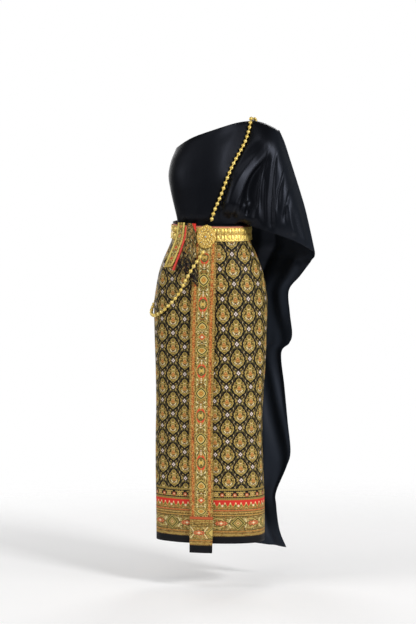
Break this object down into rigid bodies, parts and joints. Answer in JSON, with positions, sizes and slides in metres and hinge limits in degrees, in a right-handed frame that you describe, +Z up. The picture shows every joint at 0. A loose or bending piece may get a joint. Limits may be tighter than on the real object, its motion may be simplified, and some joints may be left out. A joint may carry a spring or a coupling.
{
  "type": "chut thai dress",
  "caption": "One-shoulder black satin top with a long train, wrapped gold-patterned brocade skirt with a front pleat, gilt plate belt and beaded body chain.",
  "frame": {"origin": "centre of the waist inside the belt, where the wearer's waist holds the dress", "axes": "+Z up, -Y the front of the dress, +X the wearer's left"},
  "size_m": [0.4938, 0.3032, 1.3074],
  "materials": {
    "satin": "glossy black satin",
    "brocade": "gold-patterned black brocade, soft sheen",
    "pleat_brocade": "gold, green and rust striped brocade",
    "striped_brocade": "gold striped brocade",
    "red_cloth": "plain red woven edge",
    "gathered_brocade": "gathered brocade, olive and black",
    "gilt": "polished gilt"
  },
  "bodies": {
    "root": {"bodice_front": "satin", "bodice_back": "satin", "shoulder_drape": "satin", "train": "satin", "skirt_front": "brocade", "skirt_back": "brocade", "front_pleat": "pleat_brocade", "folded_end_strip": "striped_brocade", "folded_end_edge": "red_cloth", "folded_end_gather": "gathered_brocade", "belt": "gilt", "belt_buckle": "gilt", "chain_front": "gilt", "chain_round": "gilt"}
  },
  "joints": []
}
